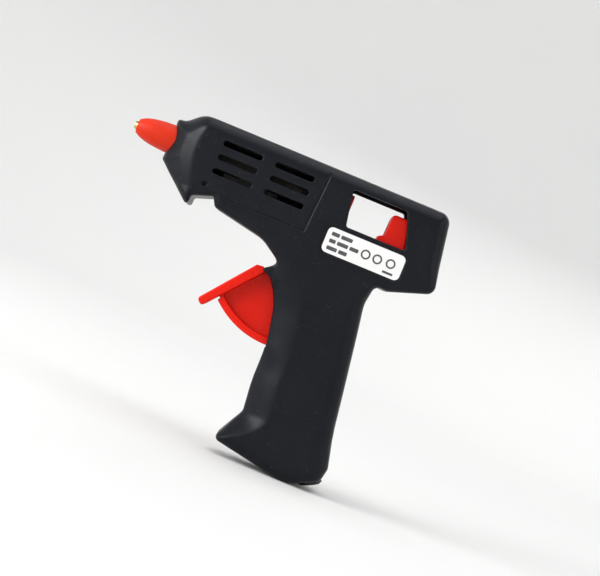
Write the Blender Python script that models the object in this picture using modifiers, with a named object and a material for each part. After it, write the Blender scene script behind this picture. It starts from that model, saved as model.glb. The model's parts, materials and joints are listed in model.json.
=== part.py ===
"""Hot-melt glue gun for 7 mm sticks, as an assembly of separate solids.

Frame: +Z up, the barrel lies along X with the nozzle towards -X, Y is across the gun, and the housing parts
at Y = 0. The origin is under the middle of the bounding box. Sizes below are millimetres; MM turns them into
metres where meshes are made.
"""

import math

import bmesh
import bpy
from mathutils import Matrix, Vector

MM = 0.001

# ---- driving dimensions, millimetres ----
AXIS_Z = 105.7            # height of the nozzle, chamber and glue-stick axis
BODY_HALF = 13.0          # half the housing's thickness
WALL = 2.2                # housing wall
PARTING = 0.15            # each shell stops this far from Y = 0
GAP = 0.3                 # clearance between neighbouring pieces
TIP_X = -65.95            # front of the nozzle
COLLAR_X = -50.9          # front face of the housing's collar
BODY_TOP = 119.3
STICK_HOLE_R = 4.3
CHAMBER_R = 6.4
CHAMBER_BORE_R = 3.8

PIVOT = (13.5, 80.3)      # trigger pivot, X and Z
ARM_PIN = (17.9, 97.8)    # pin at the top of the trigger's arm, at rest
TRIGGER_ARC_R = 34.5
PIN_R = 1.5
PIN_BORE_R = 1.8
TRIGGER_HALF = 6.5        # half the width of the finger plate
ARM_Y = (5.2, 7.2)        # the trigger's arm, across the gun
LINK_Y = (7.5, 9.3)
LINK_EYE_R = 2.0          # wide eye: the pin's arc rises 0.54 mm over its travel
SMALL_PIN_R = 1.1
SMALL_BORE_R = 1.4
JAW_PIVOT = (45.6, 96.4)
LINK_PIN_X = 41.0
RIM_ARC = (-132.5, -78.0)          # directions from the pivot that the trigger's rim covers, degrees
RIM_THICK = 2.8
# Side outlines of the trigger's finger plate and of the passage it moves through in the housing.
FINGER_PLATE = ((-0.9, 73.4, 0.8), (-17.4, 52.6, 1.4), (-14.9, 50.4, 1.2), (3.2, 71.9, 0.8), (1.9, 73.6, 0.6))
TRIGGER_PASSAGE = (
    (0.0, 76.4), (4.6, 76.6), (6.2, 79.1), (12.0, 79.1),
    (22.0, 60.0), (22.0, 45.2), (6.0, 45.2), (-2.0, 70.0),
)

SCREWS = ((-37.6, 91.0), (-2.0, 88.0), (58.5, 90.0), (35.5, 66.0), (33.0, 12.0))
SCREW_HEAD_R = 2.5
SCREW_SHANK_R = 1.4
BOSS_R = 3.2
CLAMP_SCREWS = ((39.8, 13.0), (48.2, 13.0))
# front, rear and lower edge of each rib that holds the chamber
SADDLES = ((-39.0, -37.4, 95.2), (1.0, 2.6, 97.0))
RAIL = (26.0, 52.0, 91.2, 93.3)                      # ends and height of the ledge the carriage slides on
SPRING_POST = (61.6, 95.8)
STAND_HOLE = (-31.0, 94.2)
SLEEVE_END = 24.2

VENT_ROWS = (111.5, 105.9, 100.2)
VENT_COLUMNS = ((-30.2, -14.2), (-8.8, 7.2))
VENT_HEIGHT = 2.2
LABEL_LOW = (19.4, 87.7)
LABEL_HIGH = (51.3, 97.7)
LABEL_DEPTH = 0.6
LABEL_THICK = 0.25
GLAND_CENTRE = (49.8, 3.4)
GLAND_AXIS = (0.44, -0.898)        # X and Z, pointing out of the handle's heel
GLAND_HOLE_R = 3.8
LEAD_R = 0.8
LEAD_Y = 8.5

# Housing seen from the side: corners as X, Z and the radius that rounds them.
HOUSING = (
    (COLLAR_X, 114.1, 2.6), (-47.8, 114.3, 4.0), (-41.5, BODY_TOP, 9.0), (61.2, BODY_TOP, 4.4),
    (66.4, 88.6, 3.5), (49.4, 82.7, 4.0), (44.3, 83.0, 2.5), (43.2, 75.0, 12.0), (45.2, 63.5, 30.0),
    (48.7, 41.5, 60.0), (51.4, 23.9, 60.0), (54.6, 10.8, 2.6), (53.4, 5.2, 2.6), (44.6, 0.9, 6.0),
    (38.0, -0.43, 16.0), (26.0, 2.1, 20.0), (8.6, 5.2, 2.6), (15.6, 18.6, 4.0), (14.2, 31.0, 40.0),
    (14.1, 46.0, 40.0), (11.0, 61.0, 25.0), (6.2, 70.6, 7.0), (5.9, 77.6, 3.6), (-2.9, 83.3, 14.0),
    (-24.3, 87.4, 2.4), (-26.2, 91.0, 0.8), (-34.2, 88.2, 1.2), (-34.4, 83.6, 2.2), (COLLAR_X, 97.3, 2.6),
)
# A small lip on each shell that closes the corner above the trigger's finger plate.
BROW = ((2.0, 72.2), (2.3, 73.2), (5.4, 74.8), (9.0, 77.0), (9.0, 67.6), (6.4, 70.6))
# Housing seen from above: the nose narrows to the collar.
PLAN = (
    (-54.0, 8.5, 0.0), (-47.5, 8.8, 5.0), (-37.5, 13.6, 6.0), (72.0, 13.6, 0.0),
    (72.0, -13.6, 0.0), (-37.5, -13.6, 6.0), (-47.5, -8.8, 5.0), (-54.0, -8.5, 0.0),
)
WINDOW = ((22.5, 114.1, 1.0), (44.9, 114.1, 1.0), (49.7, 99.7, 1.0), (25.2, 99.7, 1.0))
CARRIAGE = (
    (40.3, 111.5, 1.6), (47.2, 111.5, 1.2), (49.8, 99.8, 1.0), (49.8, 93.6, 0.6),
    (37.8, 93.6, 0.6), (37.8, 101.3, 0.6), (40.0, 102.6, 0.6),
)

# name: linear base colour, roughness, metallic
FINISHES = {
    "housing_plastic": ((0.017, 0.020, 0.027), 0.45, 0.0),
    "cover_silicone": ((0.75, 0.06, 0.02), 0.5, 0.0),
    "trigger_plastic": ((0.85, 0.03, 0.012), 0.3, 0.0),
    "carriage_plastic": ((0.75, 0.03, 0.02), 0.3, 0.0),
    "brass": ((0.6, 0.42, 0.16), 0.3, 1.0),
    "steel": ((0.55, 0.55, 0.56), 0.3, 1.0),
    "aluminium": ((0.6, 0.6, 0.61), 0.45, 1.0),
    "ceramic": ((0.45, 0.42, 0.38), 0.7, 0.0),
    "film": ((0.55, 0.30, 0.05), 0.3, 0.0),
    "label_vinyl": ((0.85, 0.85, 0.83), 0.4, 0.0),
    "rubber": ((0.012, 0.012, 0.013), 0.6, 0.0),
    "lead_white": ((0.75, 0.74, 0.70), 0.45, 0.0),
}


# ---- scene and object helpers ----
def clear_scene():
    for old in list(bpy.data.objects):
        bpy.data.objects.remove(old, do_unlink=True)


def new_collection(name):
    collection = bpy.data.collections.new(name)
    bpy.context.scene.collection.children.link(collection)
    return collection


def finish_material(name):
    if name in bpy.data.materials:
        return bpy.data.materials[name]
    colour, roughness, metallic = FINISHES[name]
    material = bpy.data.materials.new(name)
    material.use_nodes = True
    shader = material.node_tree.nodes["Principled BSDF"]
    shader.inputs["Base Color"].default_value = (*colour, 1.0)
    shader.inputs["Roughness"].default_value = roughness
    shader.inputs["Metallic"].default_value = metallic
    return material


def mesh_object(name, bm, collection, origin=(0, 0, 0)):
    """Make an object in metres from a bmesh in millimetres, with its origin at a point in millimetres."""
    bmesh.ops.remove_doubles(bm, verts=bm.verts, dist=1e-4)
    bmesh.ops.recalc_face_normals(bm, faces=bm.faces)
    bmesh.ops.transform(bm, verts=bm.verts, matrix=Matrix.Scale(MM, 4) @ Matrix.Translation(-Vector(origin)))
    mesh = bpy.data.meshes.new(name)
    bm.to_mesh(mesh)
    bm.free()
    mesh.shade_smooth()
    mesh.set_sharp_from_angle(angle=math.radians(35))
    item = bpy.data.objects.new(name, mesh)
    item.location = Vector(origin) * MM
    collection.objects.link(item)
    return item


def piece(name, bm, finish, origin=(0, 0, 0)):
    item = mesh_object(name, bm, PARTS, origin)
    item.data.materials.append(finish_material(finish))
    return item


def cutter(name, bm):
    item = mesh_object(name, bm, CUTTERS)
    item.hide_render = True
    item.display_type = "WIRE"
    return item


def boolean(target, tool_bm, operation, name="tool"):
    modifier = target.modifiers.new(name, "BOOLEAN")
    modifier.operation = operation
    modifier.object = cutter(f"{target.name}_{name}", tool_bm)
    return modifier.object


def cut(target, bm, name="cut"):
    return boolean(target, bm, "DIFFERENCE", name)


def join(target, bm, name="add"):
    return boolean(target, bm, "UNION", name)


def bmesh_of(item):
    """The evaluated shape of a temporary object, which is then removed."""
    bpy.context.view_layer.update()
    graph = bpy.context.evaluated_depsgraph_get()
    mesh = bpy.data.meshes.new_from_object(item.evaluated_get(graph))
    bm = bmesh.new()
    bm.from_mesh(mesh)
    bpy.data.meshes.remove(mesh)
    bpy.data.objects.remove(item, do_unlink=True)
    return bm


# ---- outlines ----
def arc_points(centre, radius, start, end, steps):
    """Points on an arc, angles in degrees."""
    points = []
    for i in range(steps + 1):
        angle = math.radians(start + (end - start) * i / steps)
        points.append((centre[0] + radius * math.cos(angle), centre[1] + radius * math.sin(angle)))
    return points


def turn_at(corners, i):
    """Unit directions into and out of a corner, and the signed turn between them."""
    before = Vector(corners[i - 1][:2])
    here = Vector(corners[i][:2])
    after = Vector(corners[(i + 1) % len(corners)][:2])
    into = (here - before).normalized()
    out = (after - here).normalized()
    return into, out, math.atan2(into.cross(out), into.dot(out))


def rounded(corners, step_degrees=22.0):
    """The points of an outline whose corners are rounded by their radii."""
    points = []
    for i, (x, z, radius) in enumerate(corners):
        into, out, turn = turn_at(corners, i)
        here = Vector((x, z))
        if radius < 0.05 or abs(turn) < 0.02:
            points.append((x, z))
            continue
        reach = radius * math.tan(abs(turn) / 2)
        room_before = (here - Vector(corners[i - 1][:2])).length
        room_after = (Vector(corners[(i + 1) % len(corners)][:2]) - here).length
        reach = min(reach, room_before * 0.49, room_after * 0.49)
        radius = reach / math.tan(abs(turn) / 2)
        side = 1 if turn > 0 else -1
        start = here - into * reach
        centre = start + Vector((-into.y, into.x)) * radius * side
        steps = max(1, math.ceil(abs(math.degrees(turn)) / step_degrees))
        for k in range(steps + 1):
            spin = Matrix.Rotation(turn * k / steps, 2)
            points.append(tuple(centre + spin @ (start - centre)))
    return points


def inset(corners, distance):
    """Move every edge of a clockwise outline inwards, and adjust the corner radii to match."""
    moved = []
    for i, (x, z, radius) in enumerate(corners):
        into, out, turn = turn_at(corners, i)
        normal_in = Vector((into.y, -into.x))
        normal_out = Vector((out.y, -out.x))
        spread = 1 + normal_in.dot(normal_out)
        shift = (normal_in + normal_out) * (distance / spread)
        new_radius = radius - distance if turn < 0 else radius + distance
        moved.append((x + shift.x, z + shift.y, max(new_radius, 0.3)))
    return moved


def slot_outline(x_low, x_high, z, height):
    radius = height / 2
    right = arc_points((x_high - radius, z), radius, -90, 90, 3)
    left = arc_points((x_low + radius, z), radius, 90, 270, 3)
    return right + left


def rectangle(x_low, z_low, x_high, z_high, radius=0.0):
    return (
        (x_low, z_low, radius), (x_high, z_low, radius),
        (x_high, z_high, radius), (x_low, z_high, radius),
    )


# ---- solids, as bmeshes in millimetres ----
SIDE = Matrix(((1, 0, 0, 0), (0, 0, -1, 0), (0, 1, 0, 0), (0, 0, 0, 1)))      # outline in X and Z, depth in Y
ABOVE = Matrix.Identity(4)                                                    # outline in X and Y, depth in Z
FRONT = Matrix(((0, 0, 1, 0), (1, 0, 0, 0), (0, 1, 0, 0), (0, 0, 0, 1)))      # outline in Y and Z, depth in X
DEPTH_AXIS = {
    "side": (SIDE, Vector((0, 1, 0))),
    "above": (ABOVE, Vector((0, 0, 1))),
    "front": (FRONT, Vector((1, 0, 0))),
}


def extruded(points, low, high, view="side"):
    """A flat outline given a depth from low to high across the view."""
    curve = bpy.data.curves.new("outline", "CURVE")
    curve.dimensions = "2D"
    curve.fill_mode = "BOTH"
    curve.extrude = (high - low) / 2
    spline = curve.splines.new("POLY")
    spline.points.add(len(points) - 1)
    for point, (u, v) in zip(spline.points, points):
        point.co = (u, v, 0, 1)
    spline.use_cyclic_u = True
    item = bpy.data.objects.new("outline", curve)
    PARTS.objects.link(item)
    bm = bmesh_of(item)
    bpy.data.curves.remove(curve)
    turn, depth = DEPTH_AXIS[view]
    bmesh.ops.transform(bm, verts=bm.verts, matrix=Matrix.Translation(depth * (low + high) / 2) @ turn)
    bmesh.ops.remove_doubles(bm, verts=bm.verts, dist=1e-4)
    bmesh.ops.recalc_face_normals(bm, faces=bm.faces)
    return bm


def box(low, high):
    bm = bmesh.new()
    bmesh.ops.create_cube(bm, size=1.0)
    size = [b - a for a, b in zip(low, high)]
    centre = [(a + b) / 2 for a, b in zip(low, high)]
    bmesh.ops.transform(bm, verts=bm.verts, matrix=Matrix.Translation(centre) @ Matrix.Diagonal((*size, 1)))
    return bm


def cylinder(start, end, radius, sides=14):
    bm = bmesh.new()
    start, end = Vector(start), Vector(end)
    bmesh.ops.create_cone(
        bm, cap_ends=True, segments=sides, radius1=radius, radius2=radius, depth=(end - start).length
    )
    turn = (end - start).to_track_quat("Z", "X").to_matrix().to_4x4()
    bmesh.ops.transform(bm, verts=bm.verts, matrix=Matrix.Translation((start + end) / 2) @ turn)
    return bm


def across(x, z, y_low, y_high, radius, sides=14):
    """A cylinder across the gun."""
    return cylinder((x, y_low, z), (x, y_high, z), radius, sides)


def turned(profile, origin, axis, sides=20, closed=True):
    """A profile of distance along the axis and radius, screwed round the axis."""
    mesh = bpy.data.meshes.new("profile")
    count = len(profile)
    edges = [(i, i + 1) for i in range(count - 1)]
    if closed:
        edges.append((count - 1, 0))
    mesh.from_pydata([(radius, 0, along) for along, radius in profile], edges, [])
    item = bpy.data.objects.new("profile", mesh)
    PARTS.objects.link(item)
    screw = item.modifiers.new("screw", "SCREW")
    screw.angle = math.tau
    screw.steps = sides
    screw.render_steps = sides
    screw.use_merge_vertices = True
    screw.merge_threshold = 1e-4
    bm = bmesh_of(item)
    bpy.data.meshes.remove(mesh)
    turn = Vector(axis).to_track_quat("Z", "X").to_matrix().to_4x4()
    bmesh.ops.transform(bm, verts=bm.verts, matrix=Matrix.Translation(origin) @ turn)
    bmesh.ops.remove_doubles(bm, verts=bm.verts, dist=1e-4)
    bmesh.ops.dissolve_degenerate(bm, edges=bm.edges, dist=1e-5)
    bmesh.ops.recalc_face_normals(bm, faces=bm.faces)
    return bm


def on_axis(profile, sides=20, closed=True):
    """A piece turned round the stick axis, its profile given as X and radius."""
    return turned(profile, (0, 0, AXIS_Z), (1, 0, 0), sides, closed)


def wire(points, radius):
    """A round wire through points in millimetres."""
    curve = bpy.data.curves.new("wire", "CURVE")
    curve.dimensions = "3D"
    curve.bevel_depth = radius
    curve.bevel_resolution = 2
    curve.use_fill_caps = True
    spline = curve.splines.new("POLY")
    spline.points.add(len(points) - 1)
    for point, place in zip(spline.points, points):
        point.co = (*place, 1)
    item = bpy.data.objects.new("wire", curve)
    PARTS.objects.link(item)
    bm = bmesh_of(item)
    bpy.data.curves.remove(curve)
    bmesh.ops.remove_doubles(bm, verts=bm.verts, dist=1e-4)
    return bm


def coil(x_low, x_high, z, radius, wire_radius, turns, steps=8):
    """A helical spring along X."""
    points = []
    for i in range(turns * steps + 1):
        angle = math.tau * i / steps
        x = x_low + (x_high - x_low) * i / (turns * steps)
        points.append((x, radius * math.cos(angle), z + radius * math.sin(angle)))
    return wire(points, wire_radius)


def smooth_route(knots, steps=4):
    """Points of a Catmull-Rom curve through the knots."""
    ends = [knots[0], *knots, knots[-1]]
    points = []
    for a, b, c, d in zip(ends, ends[1:], ends[2:], ends[3:]):
        a, b, c, d = Vector(a), Vector(b), Vector(c), Vector(d)
        for i in range(steps):
            t = i / steps
            bend = (2 * a - 5 * b + 4 * c - d) * t**2 + (3 * b - a - 3 * c + d) * t**3
            points.append(0.5 * (2 * b + (c - a) * t + bend))
    points.append(Vector(knots[-1]))
    return points


# ---- housing ----
def housing_hollow():
    """The space inside both shells, as a cutter."""
    inside = rounded(inset(HOUSING, WALL))
    hollow = cutter("housing_hollow", extruded(inside, -BODY_HALF + WALL, BODY_HALF - WALL))
    boolean(hollow, extruded(rounded(inset(PLAN, WALL)), 0, 130, "above"), "INTERSECT", "plan")
    return hollow


def add_ribs_and_bosses(shell, side):
    """Bosses, chamber saddles and carriage rails of one shell; side is -1 for left, 1 for right."""
    inner = BODY_HALF - WALL + 0.3
    for i, (x, z) in enumerate(SCREWS):
        join(shell, across(x, z, side * PARTING, side * inner, BOSS_R), f"boss_{i}")
    join(shell, across(*PIVOT, side * 8.2, side * inner, 3.4), "pivot_boss")
    for i, (x_low, x_high, z_low) in enumerate(SADDLES):
        y_low, y_high = sorted((side * 1.0, side * inner))
        join(shell, box((x_low, y_low, z_low), (x_high, y_high, BODY_TOP - WALL + 0.3)), f"saddle_{i}")
    y_low, y_high = sorted((side * 4.0, side * inner))
    join(shell, box((RAIL[0], y_low, RAIL[2]), (RAIL[1], y_high, RAIL[3])), "rail")
    y_low, y_high = sorted((side * 6.9, side * 12.0))
    join(shell, extruded(BROW, y_low, y_high), "brow")
    if side > 0:
        for i, (x, z) in enumerate(CLAMP_SCREWS):
            join(shell, across(x, z, 1.7, inner, 2.8), f"clamp_boss_{i}")
        join(shell, across(*SPRING_POST, 0.6, inner, 1.2, 12), "spring_post")


def along_gland(distance):
    """A point on the gland's axis, measured outwards from the housing's surface."""
    return (GLAND_CENTRE[0] + distance * GLAND_AXIS[0], 0, GLAND_CENTRE[1] + distance * GLAND_AXIS[1])


def cut_openings(shell, side):
    """Everything open in a shell: nose, stick path, window, vents, trigger slot, gland, screws."""
    deep = BODY_HALF + 2
    cut(shell, cylinder((-54, 0, AXIS_Z), (-48, 0, AXIS_Z), 6.1, 20), "nose")
    cut(shell, cylinder((-48.95, 0, AXIS_Z), (-40, 0, AXIS_Z), 7.3, 20), "nose_seat")
    cut(shell, cylinder((-41, 0, AXIS_Z), (3.5, 0, AXIS_Z), CHAMBER_R + GAP, 20), "chamber_seat")
    cut(shell, cylinder((58, 0, AXIS_Z), (70, 0, AXIS_Z), STICK_HOLE_R, 20), "stick_inlet")
    cut(shell, extruded(rounded(WINDOW), -deep, deep), "window")
    for row, z in enumerate(VENT_ROWS):
        for column, (x_low, x_high) in enumerate(VENT_COLUMNS):
            slot = slot_outline(x_low, x_high, z, VENT_HEIGHT)
            cut(shell, extruded(slot, -deep, deep), f"vent_{row}{column}")
    slot = TRIGGER_HALF + 0.4
    cut(shell, extruded(TRIGGER_PASSAGE, -slot, slot), "trigger_slot")
    cut(shell, cylinder(along_gland(-6.0), along_gland(5.0), GLAND_HOLE_R), "gland_hole")
    cut(shell, cylinder(along_gland(-6.0), along_gland(-2.3), 4.6), "gland_seat")
    cut(shell, across(*PIVOT, side * 6, side * 10.7, PIN_BORE_R), "pivot_bore")
    cut(shell, across(*STAND_HOLE, side * 11.4, side * deep, 1.0, 12), "stand_hole")
    for i, (x, z) in enumerate(SCREWS):
        if side > 0:
            cut(shell, across(x, z, -1, BODY_HALF - 0.5, SCREW_SHANK_R + GAP, 12), f"screw_hole_{i}")
            cut(shell, across(x, z, 10.4, deep, SCREW_HEAD_R + 0.4, 16), f"screw_recess_{i}")
        else:
            cut(shell, across(x, z, -8.6, 1, SCREW_SHANK_R + GAP, 12), f"screw_hole_{i}")
    if side > 0:
        for i, (x, z) in enumerate(CLAMP_SCREWS):
            cut(shell, across(x, z, 1, 8.5, 1.3, 12), f"clamp_hole_{i}")
    else:
        recess = [*LABEL_LOW, *LABEL_HIGH]
        margin = rectangle(recess[0] - GAP, recess[1] - GAP, recess[2] + GAP, recess[3] + GAP, 1.8)
        cut(shell, extruded(rounded(margin), -deep, -BODY_HALF + LABEL_DEPTH), "label_recess")


def make_shell(name, side, hollow):
    shell = piece(name, extruded(rounded(HOUSING), -BODY_HALF, BODY_HALF), "housing_plastic")
    boolean(shell, extruded(rounded(PLAN), -5, 130, "above"), "INTERSECT", "plan")
    remove = shell.modifiers.new("hollow", "BOOLEAN")
    remove.operation = "DIFFERENCE"
    remove.object = hollow
    far = 40.0 * side
    keep_out = sorted((side * PARTING, -far))
    cut(shell, box((-90, keep_out[0], -20), (90, keep_out[1], 150)), "other_half")
    add_ribs_and_bosses(shell, side)
    cut_openings(shell, side)
    return shell


# ---- nozzle, chamber and heater ----
def make_hot_end():
    piece("nozzle_cover", on_axis((
        (-64.7, 2.25), (-64.7, 2.7), (-62.6, 3.9), (-60.2, 4.7), (-55.9, 5.5), (-50.7, 5.75), (-48.6, 5.75),
        (-48.6, 6.9), (-47.0, 6.9), (-47.0, 5.25), (-49.0, 5.25), (-49.0, 4.25), (-57.0, 3.55),
    )), "cover_silicone")
    piece("nozzle_tip", on_axis((
        (TIP_X, 0.8), (TIP_X, 1.3), (-64.6, 1.9), (-57.0, 3.2), (-48.6, 3.9), (-48.6, 4.9), (-46.6, 4.9),
        (-46.6, 3.4), (-40.5, 3.4), (-40.5, 2.0), (-58.6, 2.0), (-60.0, 0.8),
    )), "brass")
    ball = bmesh.new()
    bmesh.ops.create_uvsphere(ball, u_segments=14, v_segments=8, radius=1.5)
    bmesh.ops.translate(ball, verts=ball.verts, vec=(-56.9, 0, AXIS_Z))
    piece("nozzle_valve_ball", ball, "steel")
    piece("nozzle_valve_spring", coil(-54.9, -44.0, AXIS_Z, 1.4, 0.22, 5), "steel")

    chamber = piece("melting_chamber", on_axis((
        (-46.2, CHAMBER_BORE_R), (-46.2, CHAMBER_R), (3.0, CHAMBER_R), (3.0, 4.6), (9.0, 4.6),
        (9.0, CHAMBER_BORE_R),
    )), "aluminium")
    join(chamber, box((-26.0, -6.2, 98.0), (-4.0, 6.2, 101.0)), "heater_seat")
    piece("electrode_upper", box((-25.0, -5.6, 97.3), (-1.8, 5.6, 97.7)), "brass")
    piece("ptc_heater", box((-24.0, -5.6, 95.0), (-6.0, 5.6, 97.0)), "ceramic")
    piece("electrode_lower", box((-25.0, -5.6, 94.3), (-1.8, 5.6, 94.7)), "brass")
    piece("insulation_film", box((-22.6, -6.0, 93.7), (-4.5, 6.0, 94.0)), "film")
    outer = [
        (-7.3, 92.8, 1.0), (-7.3, 109.0, 1.2), (-5.0, 111.4, 0.3), (-4.6, 111.0, 0.0), (-6.8, 108.8, 0.8),
        (-6.8, 93.3, 0.5),
    ]
    mirrored = [(-y, z, radius) for y, z, radius in reversed(outer)]
    piece("heater_clip", extruded(rounded(outer + mirrored), -20.0, -10.0, "front"), "steel")

    piece("inlet_sleeve", on_axis((
        (3.4, 4.9), (3.4, 6.1), (21.3, 6.1), (21.3, 6.9), (SLEEVE_END, 6.9), (SLEEVE_END, 3.9), (9.3, 3.9),
        (9.3, 4.9),
    )), "carriage_plastic")
    piece("sleeve_clamp", on_axis(((5.0, 6.4), (5.0, 6.9), (7.0, 6.9), (7.0, 6.4))), "steel")


# ---- feed: trigger, link, carriage, jaw ----
def make_trigger():
    """Finger plate, sector web with its rim, hub and upper arm, in one moulding."""
    px, pz = PIVOT
    hub = (px, 0, pz)
    start, end = RIM_ARC
    rim = arc_points(PIVOT, TRIGGER_ARC_R, start, end, 12)
    rim_inner = arc_points(PIVOT, TRIGGER_ARC_R - RIM_THICK, end, start - 1.5, 12)
    trigger = piece("trigger", extruded(rim + rim_inner, -5.0, 5.0), "trigger_plastic", hub)
    web_arc = arc_points(PIVOT, TRIGGER_ARC_R - 1.4, start - 1.5, end - 1.5, 10)
    web = web_arc + [(px + 3.0, pz - 3.0), (px - 1.0, pz + 3.0), (px - 9.0, pz - 5.0), (px - 12.5, pz - 8.5)]
    join(trigger, extruded(web, -1.5, 1.5), "web")
    join(trigger, extruded(rounded(FINGER_PLATE), -TRIGGER_HALF, TRIGGER_HALF), "finger_plate")
    join(trigger, across(px, pz, -7.8, 7.8, 4.2, 24), "hub")
    ax, az = ARM_PIN
    arm = (
        (px - 3.4, pz - 1.0, 0.5), (ax - 2.1, az + 0.6, 2.0), (ax - 0.4, az + 2.3, 1.6),
        (ax + 2.1, az + 0.9, 1.6), (ax + 1.9, az - 1.2, 1.0), (px + 4.0, pz - 1.0, 0.5),
    )
    join(trigger, extruded(rounded(arm), *ARM_Y), "arm")
    cut(trigger, across(px, pz, -9, 9, PIN_BORE_R, 20), "pivot_bore")
    cut(trigger, across(ax, az, 4, 8, SMALL_BORE_R, 14), "arm_bore")
    piece("trigger_pin", across(px, pz, -10.4, 10.4, PIN_R, 20), "steel", hub)
    piece("trigger_arm_pin", across(ax, az, 5.0, 9.6, SMALL_PIN_R, 14), "steel", (ax, 0, az))


def make_feed():
    block = extruded(rounded(CARRIAGE), -7.0, 7.0)
    carriage = piece("feed_carriage", block, "carriage_plastic", (44, 0, AXIS_Z))
    cut(carriage, cylinder((30, 0, AXIS_Z), (60, 0, AXIS_Z), 4.1, 18), "stick_hole")
    cut(carriage, box((42.0, -2.0, 90.0), (48.2, 2.0, 103.0)), "jaw_slot")
    jaw_x, jaw_z = JAW_PIVOT
    cut(carriage, across(jaw_x, jaw_z, -5.5, 5.5, SMALL_BORE_R, 14), "jaw_bore")
    cut(carriage, across(LINK_PIN_X, 97.8, 4.4, 8.0, SMALL_BORE_R, 14), "link_bore")
    piece("jaw_pin", across(jaw_x, jaw_z, -5.2, 5.2, SMALL_PIN_R, 14), "steel", (jaw_x, 0, jaw_z))
    teeth = ((43.0, 101.2), (43.5, 100.3), (44.0, 101.2), (44.5, 100.3), (45.0, 101.1), (45.6, 100.2))
    jaw_outline = (*reversed(teeth), (42.6, 99.0), (43.4, 94.6), (47.6, 94.6), (47.6, 98.0))
    jaw = piece("grip_jaw", extruded(jaw_outline, -1.6, 1.6), "steel", (jaw_x, 0, jaw_z))
    cut(jaw, across(jaw_x, jaw_z, -3, 3, SMALL_BORE_R, 14), "pin_bore")
    ax, az = ARM_PIN
    bar = (
        (ax - 3.4, az + 2.0, 1.6), (ax, az + 3.2, 2.0), (ax + 3.6, az + 2.0, 2.0),
        (LINK_PIN_X + 2.6, az + 2.0, 1.8), (LINK_PIN_X + 2.6, az - 2.0, 1.8),
        (ax + 3.6, az - 2.0, 2.0), (ax, az - 3.2, 2.0), (ax - 3.4, az - 2.0, 1.6),
    )
    link = piece("drive_link", extruded(rounded(bar), *LINK_Y), "steel", (LINK_PIN_X, 0, az))
    cut(link, across(ax, az, 7, 10, LINK_EYE_R, 20), "arm_eye")
    cut(link, across(LINK_PIN_X, az, 7, 10, SMALL_BORE_R, 14), "pin_eye")
    piece("link_pin", across(LINK_PIN_X, az, 4.8, 9.6, SMALL_PIN_R, 14), "steel", (LINK_PIN_X, 0, az))
    piece("return_spring", coil(50.5, 59.9, 95.8, 1.6, 0.3, 6), "steel")


# ---- label, screws, gland, clamp and leads ----
def make_fittings():
    label_low = -BODY_HALF + LABEL_DEPTH - GAP - LABEL_THICK
    label = rounded(rectangle(*LABEL_LOW, *LABEL_HIGH, 1.6), 15.0)
    piece("rating_label", extruded(label, label_low, label_low + LABEL_THICK), "label_vinyl")

    for i, (x, z) in enumerate(SCREWS):
        profile = ((-8.0, 0.0), (-7.0, SCREW_SHANK_R), (10.8, SCREW_SHANK_R), (10.8, SCREW_HEAD_R),
                   (12.0, SCREW_HEAD_R), (12.5, 1.6), (12.5, 0.0))
        screw = turned(profile, (x, 0, z), (0, 1, 0), 16, closed=False)
        piece(f"housing_screw_{i + 1}", screw, "steel", (x, 0, z))

    gx, gz = GLAND_CENTRE
    gland_profile = ((-4.3, 2.6), (-4.3, 4.2), (-2.7, 4.2), (-2.7, 3.4), (0.35, 3.4), (0.35, 5.0), (1.2, 4.8),
                     (1.6, 4.0), (1.6, 2.6))
    gland = turned(gland_profile, (gx, 0, gz), (GLAND_AXIS[0], 0, GLAND_AXIS[1]))
    piece("cord_gland", gland, "rubber", (gx, 0, gz))

    bar = piece("cord_clamp", box((36.9, -1.3, 10.6), (51.1, 1.2, 15.4)), "housing_plastic")
    for i, (x, z) in enumerate(CLAMP_SCREWS):
        cut(bar, across(x, z, -3, 3, 1.3, 12), f"screw_hole_{i}")
        profile = ((-3.4, 0.0), (-3.4, 1.6), (-2.9, 2.1), (-1.6, 2.1), (-1.6, 1.0), (7.2, 1.0), (8.0, 0.0))
        screw = turned(profile, (x, 0, z), (0, 1, 0), 14, closed=False)
        piece(f"clamp_screw_{i + 1}", screw, "steel", (x, 0, z))

    for name, side, end_z in (("live", -1, 97.5), ("neutral", 1, 94.5)):
        y = side * LEAD_Y
        knots = (
            (43.6, y, 25.2), (43.0, y, 34.0), (41.6, y, 50.0),
            (40.6, y, 64.0), (39.6, y, 76.0), (37.4, y, 84.5),
            (31.0, y, 88.9), (18.0, y, 89.2), (8.0, y, 89.2), (3.2, side * 7.2, 91.2),
            (1.0, side * 5.0, end_z - 1.6), (-1.2, side * 4.0, end_z),
        )
        piece(f"lead_{name}", wire(smooth_route(knots, 2), LEAD_R), "lead_white")
        splice = cylinder((44.2, y, 17.0), (43.7, y, 24.8), 1.4, 14)
        piece(f"splice_{name}", splice, "steel")


clear_scene()
PARTS = new_collection("glue_gun")
CUTTERS = new_collection("glue_gun_cutters")

HOLLOW = housing_hollow()
make_shell("left_shell", -1, HOLLOW)
make_shell("right_shell", 1, HOLLOW)
make_hot_end()
make_trigger()
make_feed()
make_fittings()
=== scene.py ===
"""Hot-melt glue gun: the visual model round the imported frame, on a pale floor under soft studio light."""

import json
import math

import bmesh
import bpy
import numpy as np
from mathutils import Matrix, Vector


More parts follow.
